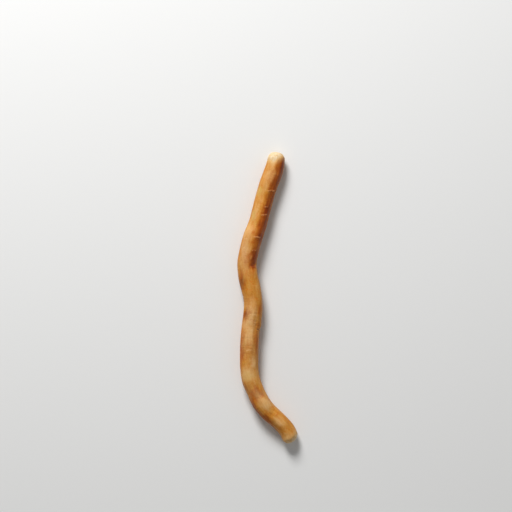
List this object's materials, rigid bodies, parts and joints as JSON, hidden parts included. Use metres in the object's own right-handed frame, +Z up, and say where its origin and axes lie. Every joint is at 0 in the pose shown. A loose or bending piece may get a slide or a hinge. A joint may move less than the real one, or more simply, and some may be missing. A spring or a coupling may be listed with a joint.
{
  "type": "miswak stick",
  "caption": "Chewing stick for cleaning teeth: a pencil-long piece of bent root in thin golden bark, cut across at both ends, lying on its side.",
  "frame": {"origin": "on the surface that the stick lies on, under the middle of its outline", "axes": "+Y along the stick's length towards the straighter arm's end, +X towards the open side of the lower bend, +Z up from the surface"},
  "size_m": [0.0342, 0.1662, 0.0119],
  "materials": {
    "root_bark": "thin dry bark, golden orange to red-brown, satin, with pale wood at the two cut ends"
  },
  "bodies": {
    "root": {"stick": "root_bark"}
  },
  "joints": []
}
